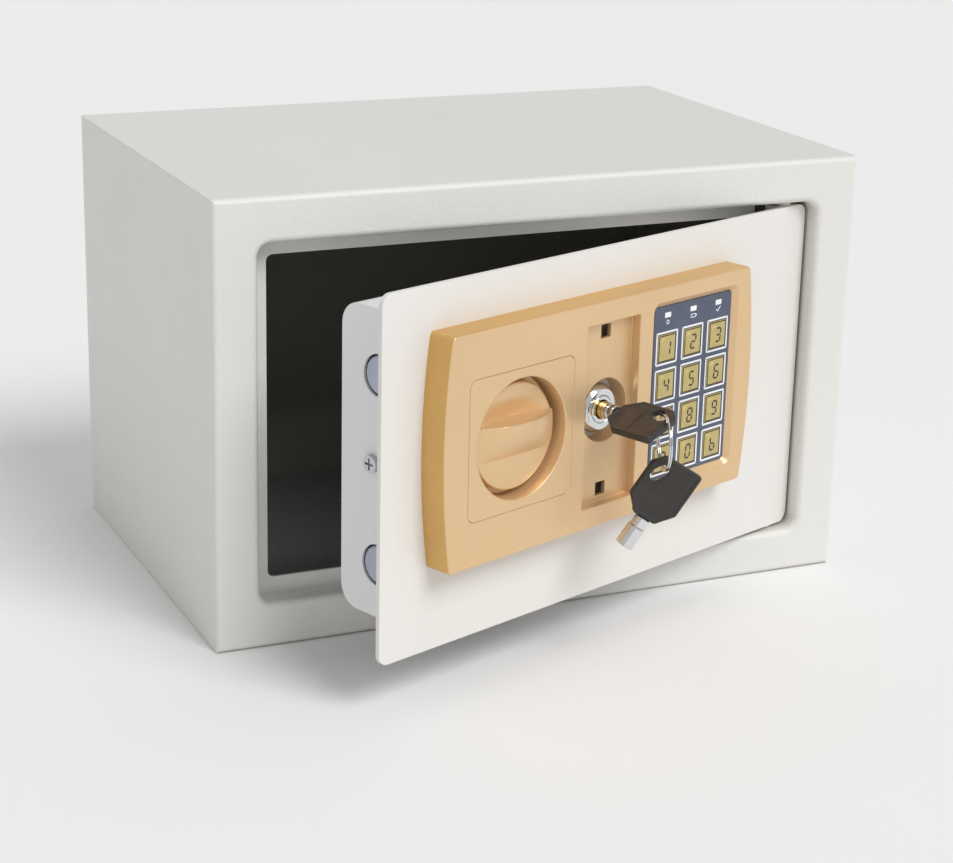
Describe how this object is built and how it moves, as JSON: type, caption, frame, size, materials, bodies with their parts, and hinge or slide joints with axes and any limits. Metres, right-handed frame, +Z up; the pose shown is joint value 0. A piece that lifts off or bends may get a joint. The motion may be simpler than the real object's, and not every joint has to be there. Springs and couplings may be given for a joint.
{
  "type": "in-room safe",
  "caption": "Sheet-steel cabinet safe with a swinging door, keypad fascia, thumb-turn knob that throws locking bolts, and a tubular override lock with keys on a ring.",
  "frame": {"origin": "centre of the cabinet's base, on the surface it stands on", "axes": "+Z up, the door's side faces -Y, +X to the right seen from the front, where the hinge is"},
  "size_m": [0.31, 0.2961, 0.2],
  "materials": {
    "cabinet_paint": "fine-textured powder coat",
    "door_paint": "fine-textured powder coat",
    "pan_paint": "smooth satin paint",
    "felt": "needled felt",
    "zinc_steel": "bright zinc plate",
    "nylon": "natural nylon",
    "gold_plastic": "satin gold metallic lacquer",
    "label_film": "printed polyester film",
    "board_green": "solder resist",
    "black_plastic": "moulded texture",
    "wire_red": "PVC sleeve",
    "bolt_chrome": "bright plate",
    "copper_coil": "enamelled copper winding",
    "lock_chrome": "polished plate",
    "key_plastic": "fine moulded texture",
    "cell_wrap": "plain shrink sleeve",
    "reset_red": "moulded",
    "key_gold": "gold metallic print"
  },
  "bodies": {
    "cabinet": {"body_wrap": "cabinet_paint", "back_panel": "cabinet_paint", "front_frame": "cabinet_paint", "floor_mat": "felt", "hinge_pins": "zinc_steel"},
    "door": {"door_plate": "door_paint", "hinge_lugs": "door_paint", "hinge_washers": "nylon", "door_pan": "pan_paint", "pan_brackets": "zinc_steel", "pan_screws": "zinc_steel", "bolt_guide": "zinc_steel", "guide_posts": "zinc_steel", "fascia": "gold_plastic", "fascia_screws": "zinc_steel", "knob_bezel": "gold_plastic", "keypad_label": "label_film", "circuit_board": "board_green", "board_parts": "black_plastic", "wire_harness": "wire_red", "knob_bush": "nylon", "solenoid_frame": "zinc_steel", "solenoid_coil": "copper_coil", "plunger_spring": "zinc_steel", "lock_body": "lock_chrome", "lock_nut": "zinc_steel", "battery_box": "black_plastic", "battery_contacts": "zinc_steel", "battery_cells": "cell_wrap", "reset_switch": "black_plastic"},
    "knob": {"knob": "gold_plastic", "knob_shaft": "zinc_steel", "knob_cam": "zinc_steel"},
    "bolts": {"bolt_carriage": "zinc_steel", "upper_bolt": "bolt_chrome", "lower_bolt": "bolt_chrome", "bolt_screws": "zinc_steel"},
    "plunger": {"plunger": "zinc_steel", "plunger_yoke": "zinc_steel"},
    "lock_plug": {"lock_plug": "lock_chrome", "lock_cam": "zinc_steel"},
    "key_one": {"key_one_shank": "lock_chrome", "key_one_head": "key_plastic"},
    "key_ring": {"key_ring": "lock_chrome"},
    "key_two": {"key_two_shank": "lock_chrome", "key_two_head": "key_plastic"},
    "battery_cover": {"battery_cover": "black_plastic"},
    "reset_button": {"reset_button": "reset_red"},
    "button_1": {"button_1": "key_gold"},
    "button_2": {"button_2": "key_gold"},
    "button_3": {"button_3": "key_gold"},
    "button_4": {"button_4": "key_gold"},
    "button_5": {"button_5": "key_gold"},
    "button_6": {"button_6": "key_gold"},
    "button_7": {"button_7": "key_gold"},
    "button_8": {"button_8": "key_gold"},
    "button_9": {"button_9": "key_gold"},
    "button_a": {"button_a": "key_gold"},
    "button_0": {"button_0": "key_gold"},
    "button_b": {"button_b": "key_gold"}
  },
  "joints": [
    {"name": "door_swing", "type": "hinge", "parent": "cabinet", "child": "door", "pos_m": [0.1225, -0.0925, 0.1], "axis": [0, 0, 1], "range_deg": [-20.7, 85]},
    {"name": "knob_turn", "type": "hinge", "parent": "door", "child": "knob", "pos_m": [-0.05189, -0.16428, 0.1089], "axis": [0.3535, -0.9354, 0], "range_deg": [0, 90]},
    {"name": "bolt_slide", "type": "slide", "parent": "door", "child": "bolts", "axis": [-0.9354, -0.3535, 0], "range_m": [0, 0.018]},
    {"name": "lock_turn", "type": "hinge", "parent": "door", "child": "lock_plug", "pos_m": [-0.00044, -0.14483, 0.1089], "axis": [-0.3535, 0.9354, 0], "range_deg": [0, 90]},
    {"name": "plunger_slide", "type": "slide", "parent": "door", "child": "plunger", "axis": [0, 0, 1], "range_m": [0, 0.004], "deforming": ["plunger_spring"]},
    {"name": "key_pull", "type": "slide", "parent": "lock_plug", "child": "key_one", "axis": [0.3535, -0.9354, 0], "range_m": [0, 0.008]},
    {"name": "ring_swing", "type": "hinge", "parent": "key_one", "child": "key_ring", "pos_m": [0.0162, -0.18184, 0.11299], "axis": [0.9646, -0.2639, 0], "range_deg": [-6, 6]},
    {"name": "key_two_swing", "type": "hinge", "parent": "key_ring", "child": "key_two", "pos_m": [0.0162, -0.18184, 0.09019], "axis": [-0.2639, -0.9646, 0], "range_deg": [-25, 25]},
    {"name": "battery_cover_hinge", "type": "hinge", "parent": "door", "child": "battery_cover", "pos_m": [0.04336, -0.08563, 0.0733], "axis": [-0.9354, -0.3535, 0], "range_deg": [0, 100]},
    {"name": "reset_press", "type": "slide", "parent": "door", "child": "reset_button", "axis": [0.3535, -0.9354, 0], "range_m": [0, 0.0015], "stiffness_N_per_m": 400, "springref_m": -0.0005},
    {"name": "press_1", "type": "slide", "parent": "door", "child": "button_1", "axis": [-0.3535, 0.9354, 0], "range_m": [0, 0.0005], "stiffness_N_per_m": 800, "springref_m": -0.0001},
    {"name": "press_2", "type": "slide", "parent": "door", "child": "button_2", "axis": [-0.3535, 0.9354, 0], "range_m": [0, 0.0005], "stiffness_N_per_m": 800, "springref_m": -0.0001},
    {"name": "press_3", "type": "slide", "parent": "door", "child": "button_3", "axis": [-0.3535, 0.9354, 0], "range_m": [0, 0.0005], "stiffness_N_per_m": 800, "springref_m": -0.0001},
    {"name": "press_4", "type": "slide", "parent": "door", "child": "button_4", "axis": [-0.3535, 0.9354, 0], "range_m": [0, 0.0005], "stiffness_N_per_m": 800, "springref_m": -0.0001},
    {"name": "press_5", "type": "slide", "parent": "door", "child": "button_5", "axis": [-0.3535, 0.9354, 0], "range_m": [0, 0.0005], "stiffness_N_per_m": 800, "springref_m": -0.0001},
    {"name": "press_6", "type": "slide", "parent": "door", "child": "button_6", "axis": [-0.3535, 0.9354, 0], "range_m": [0, 0.0005], "stiffness_N_per_m": 800, "springref_m": -0.0001},
    {"name": "press_7", "type": "slide", "parent": "door", "child": "button_7", "axis": [-0.3535, 0.9354, 0], "range_m": [0, 0.0005], "stiffness_N_per_m": 800, "springref_m": -0.0001},
    {"name": "press_8", "type": "slide", "parent": "door", "child": "button_8", "axis": [-0.3535, 0.9354, 0], "range_m": [0, 0.0005], "stiffness_N_per_m": 800, "springref_m": -0.0001},
    {"name": "press_9", "type": "slide", "parent": "door", "child": "button_9", "axis": [-0.3535, 0.9354, 0], "range_m": [0, 0.0005], "stiffness_N_per_m": 800, "springref_m": -0.0001},
    {"name": "press_a", "type": "slide", "parent": "door", "child": "button_a", "axis": [-0.3535, 0.9354, 0], "range_m": [0, 0.0005], "stiffness_N_per_m": 800, "springref_m": -0.0001},
    {"name": "press_0", "type": "slide", "parent": "door", "child": "button_0", "axis": [-0.3535, 0.9354, 0], "range_m": [0, 0.0005], "stiffness_N_per_m": 800, "springref_m": -0.0001},
    {"name": "press_b", "type": "slide", "parent": "door", "child": "button_b", "axis": [-0.3535, 0.9354, 0], "range_m": [0, 0.0005], "stiffness_N_per_m": 800, "springref_m": -0.0001}
  ],
  "couplings": [
    {"joint": "knob_turn", "follows": "bolt_slide", "rad_per_m": 87.266},
    {"joint": "lock_turn", "follows": "plunger_slide", "rad_per_m": 392.7}
  ]
}
